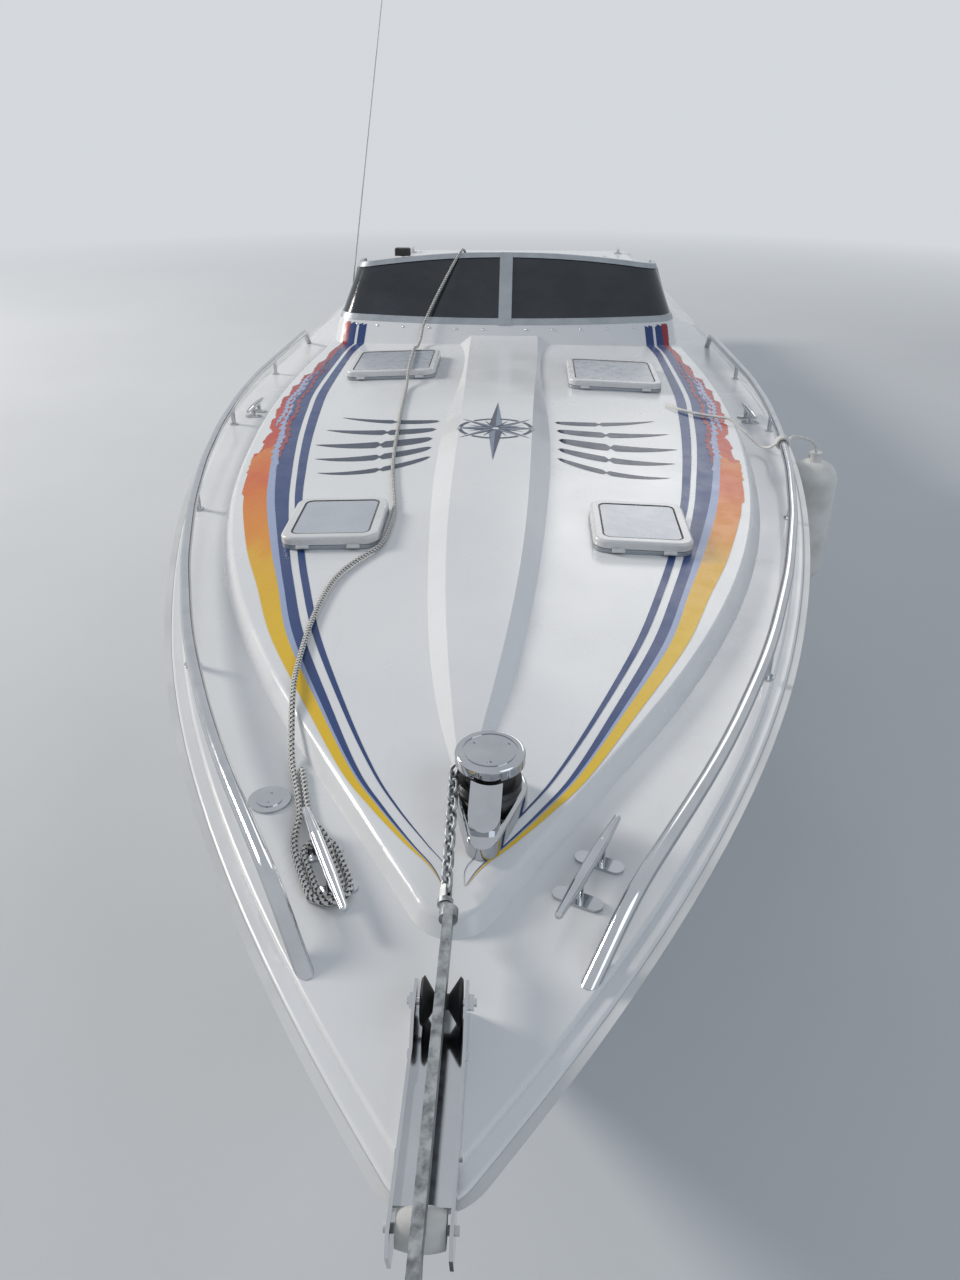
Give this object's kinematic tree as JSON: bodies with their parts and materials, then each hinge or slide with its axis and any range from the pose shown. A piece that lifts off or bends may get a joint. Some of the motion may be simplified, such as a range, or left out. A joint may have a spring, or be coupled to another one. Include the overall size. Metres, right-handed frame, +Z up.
{
  "type": "sports cruiser",
  "caption": "Twin-drive sports cruiser afloat, with cabin trunk, low tinted windscreen, cockpit, anchor on a bow roller, bow rails, swim platform and steering, tilting drives.",
  "frame": {"origin": "on the centreline at the waterline, 4.4 m forward of the transom's top", "axes": "+X to the bow, +Y to port, +Z up"},
  "size_m": [11.1813, 2.8211, 4.5747],
  "materials": {
    "hull_gelcoat": "polished gelcoat",
    "deck_gelcoat": "polished gelcoat",
    "liner_gelcoat": "satin gelcoat",
    "rail_vinyl": "satin",
    "stainless": "mirror polished steel",
    "frame_alloy": "satin light grey",
    "tinted_glass": "dark tinted",
    "black_plastic": "satin black",
    "chrome_plate": "mirror chrome",
    "galvanised": "dark galvanised",
    "roller_nylon": "satin white",
    "black_rubber": "matt",
    "aerial_white": "gloss white",
    "tinted_acrylic": "dark acrylic",
    "gauge_black": "gloss black",
    "wheel_leather": "stitched black",
    "seat_vinyl": "cream vinyl",
    "engine_paint": "satin grey",
    "drive_paint": "gloss black",
    "propeller_alloy": "satin",
    "berth_board": "woven beige",
    "fender_vinyl": "satin white",
    "rope": "braided with dark flecks",
    "lid_frame": "gloss white",
    "hatch_acrylic": "grey acrylic"
  },
  "bodies": {
    "boat": {"hull": "hull_gelcoat", "portlight_frames": "stainless", "rub_rail": "rail_vinyl", "rub_strip": "stainless", "deck": "deck_gelcoat", "cabin_top": "deck_gelcoat", "windscreen_frame": "frame_alloy", "window_panes": "tinted_glass", "screen_lamp": "black_plastic", "hatch_rims": "frame_alloy", "hatch_lid_aft_starboard": "lid_frame", "hatch_pane_aft_starboard": "hatch_acrylic", "windlass_base": "chrome_plate", "windlass_drum": "black_plastic", "anchor_chain": "galvanised", "bow_fitting": "stainless", "anchor": "galvanised", "deck_fittings": "stainless", "bow_rails": "stainless", "aerial_mount": "stainless", "cockpit_liner": "liner_gelcoat", "helm_console": "liner_gelcoat", "gauges": "gauge_black", "throttle": "black_plastic", "seat_bases": "liner_gelcoat", "seat_cushions": "seat_vinyl", "engines": "engine_paint", "swim_platform": "deck_gelcoat", "platform_fittings": "stainless", "transom_shields": "drive_paint", "berth": "berth_board", "fender": "fender_vinyl", "bow_line": "rope", "bow_line_turns": "rope", "bow_line_coil": "rope", "fender_line": "rope", "fender_tail": "rope", "fender_hitch": "rope"},
    "lid_forward_port": {"hatch_lid_forward_port": "lid_frame", "hatch_pane_forward_port": "hatch_acrylic"},
    "lid_forward_starboard": {"hatch_lid_forward_starboard": "lid_frame", "hatch_pane_forward_starboard": "hatch_acrylic"},
    "lid_aft_port": {"hatch_lid_aft_port": "lid_frame", "hatch_pane_aft_port": "hatch_acrylic"},
    "windlass_cap": {"windlass_cap": "chrome_plate"},
    "bow_roller": {"bow_roller": "roller_nylon"},
    "shank_roller": {"shank_roller": "black_rubber"},
    "aerial": {"aerial": "aerial_white"},
    "cabin_door": {"cabin_door": "tinted_acrylic"},
    "engine_lid": {"engine_hatch": "deck_gelcoat", "sun_pad": "seat_vinyl"},
    "steering_wheel": {"steering_wheel": "wheel_leather"},
    "yoke_port": {"drive_yoke_port": "drive_paint"},
    "leg_port": {"drive_leg_port": "drive_paint"},
    "propeller_port": {"propeller_port": "propeller_alloy"},
    "yoke_starboard": {"drive_yoke_starboard": "drive_paint"},
    "leg_starboard": {"drive_leg_starboard": "drive_paint"},
    "propeller_starboard": {"propeller_starboard": "propeller_alloy"},
    "swim_ladder": {"swim_ladder": "stainless"}
  },
  "joints": [
    {"name": "hatch_forward_port", "type": "hinge", "parent": "boat", "child": "lid_forward_port", "pos_m": [4.00725, 0.49024, 1.2478], "axis": [0.0007, 0.9994, -0.035], "range_deg": [0, 75]},
    {"name": "hatch_forward_starboard", "type": "hinge", "parent": "boat", "child": "lid_forward_starboard", "pos_m": [4.00725, -0.49024, 1.2478], "axis": [-0.0007, 0.9994, 0.035], "range_deg": [0, 75]},
    {"name": "hatch_aft_port", "type": "hinge", "parent": "boat", "child": "lid_aft_port", "pos_m": [2.17903, 0.54521, 1.26173], "axis": [0.0008, 0.9992, -0.0389], "range_deg": [0, 75]},
    {"name": "windlass_clutch", "type": "hinge", "parent": "boat", "child": "windlass_cap", "pos_m": [5.19398, 0.05644, 1.34391], "axis": [0.0087, 0.004, 1], "continuous": true},
    {"name": "bow_roller_spin", "type": "hinge", "parent": "boat", "child": "bow_roller", "pos_m": [6.04808, 0, 1.24019], "axis": [0, 1, 0], "continuous": true},
    {"name": "shank_roller_spin", "type": "hinge", "parent": "boat", "child": "shank_roller", "pos_m": [5.71369, 0, 1.2552], "axis": [0, 1, 0], "continuous": true},
    {"name": "aerial_fold", "type": "hinge", "parent": "boat", "child": "aerial", "pos_m": [0.42643, -1, 1.25997], "axis": [1, 0, 0], "range_deg": [0, 75]},
    {"name": "cabin_door_slide", "type": "slide", "parent": "boat", "child": "cabin_door", "axis": [0, -1, 0], "range_m": [0, 0.55]},
    {"name": "engine_hatch", "type": "hinge", "parent": "boat", "child": "engine_lid", "pos_m": [-4.02445, 0, 1.0167], "axis": [0, -1, 0], "range_deg": [0, 45]},
    {"name": "steering_wheel", "type": "hinge", "parent": "boat", "child": "steering_wheel", "pos_m": [0.06212, -0.42, 1.1046], "axis": [-0.8829, 0, 0.4695], "range_deg": [-540, 540]},
    {"name": "drive_steer_port", "type": "hinge", "parent": "boat", "child": "yoke_port", "pos_m": [-4.3, 0.43, -0.02], "axis": [0, 0, 1], "range_deg": [-27, 27]},
    {"name": "drive_tilt_port", "type": "hinge", "parent": "yoke_port", "child": "leg_port", "pos_m": [-4.39, 0.43, -0.02], "axis": [0, 1, 0], "range_deg": [0, 45]},
    {"name": "propeller_spin_port", "type": "hinge", "parent": "leg_port", "child": "propeller_port", "pos_m": [-4.79, 0.43, -0.73], "axis": [1, 0, 0], "continuous": true},
    {"name": "drive_steer_starboard", "type": "hinge", "parent": "boat", "child": "yoke_starboard", "pos_m": [-4.3, -0.43, -0.02], "axis": [0, 0, 1], "range_deg": [-27, 27]},
    {"name": "drive_tilt_starboard", "type": "hinge", "parent": "yoke_starboard", "child": "leg_starboard", "pos_m": [-4.39, -0.43, -0.02], "axis": [0, 1, 0], "range_deg": [0, 45]},
    {"name": "propeller_spin_starboard", "type": "hinge", "parent": "leg_starboard", "child": "propeller_starboard", "pos_m": [-4.79, -0.43, -0.73], "axis": [1, 0, 0], "continuous": true},
    {"name": "swim_ladder_fold", "type": "hinge", "parent": "boat", "child": "swim_ladder", "pos_m": [-4.926, 0.78, 0.422], "axis": [0, -1, 0], "range_deg": [0, 260]}
  ],
  "couplings": [
    {"joint": "steering_wheel", "follows": "drive_steer_starboard", "ratio": 20},
    {"joint": "drive_steer_port", "follows": "drive_steer_starboard", "ratio": 1}
  ]
}
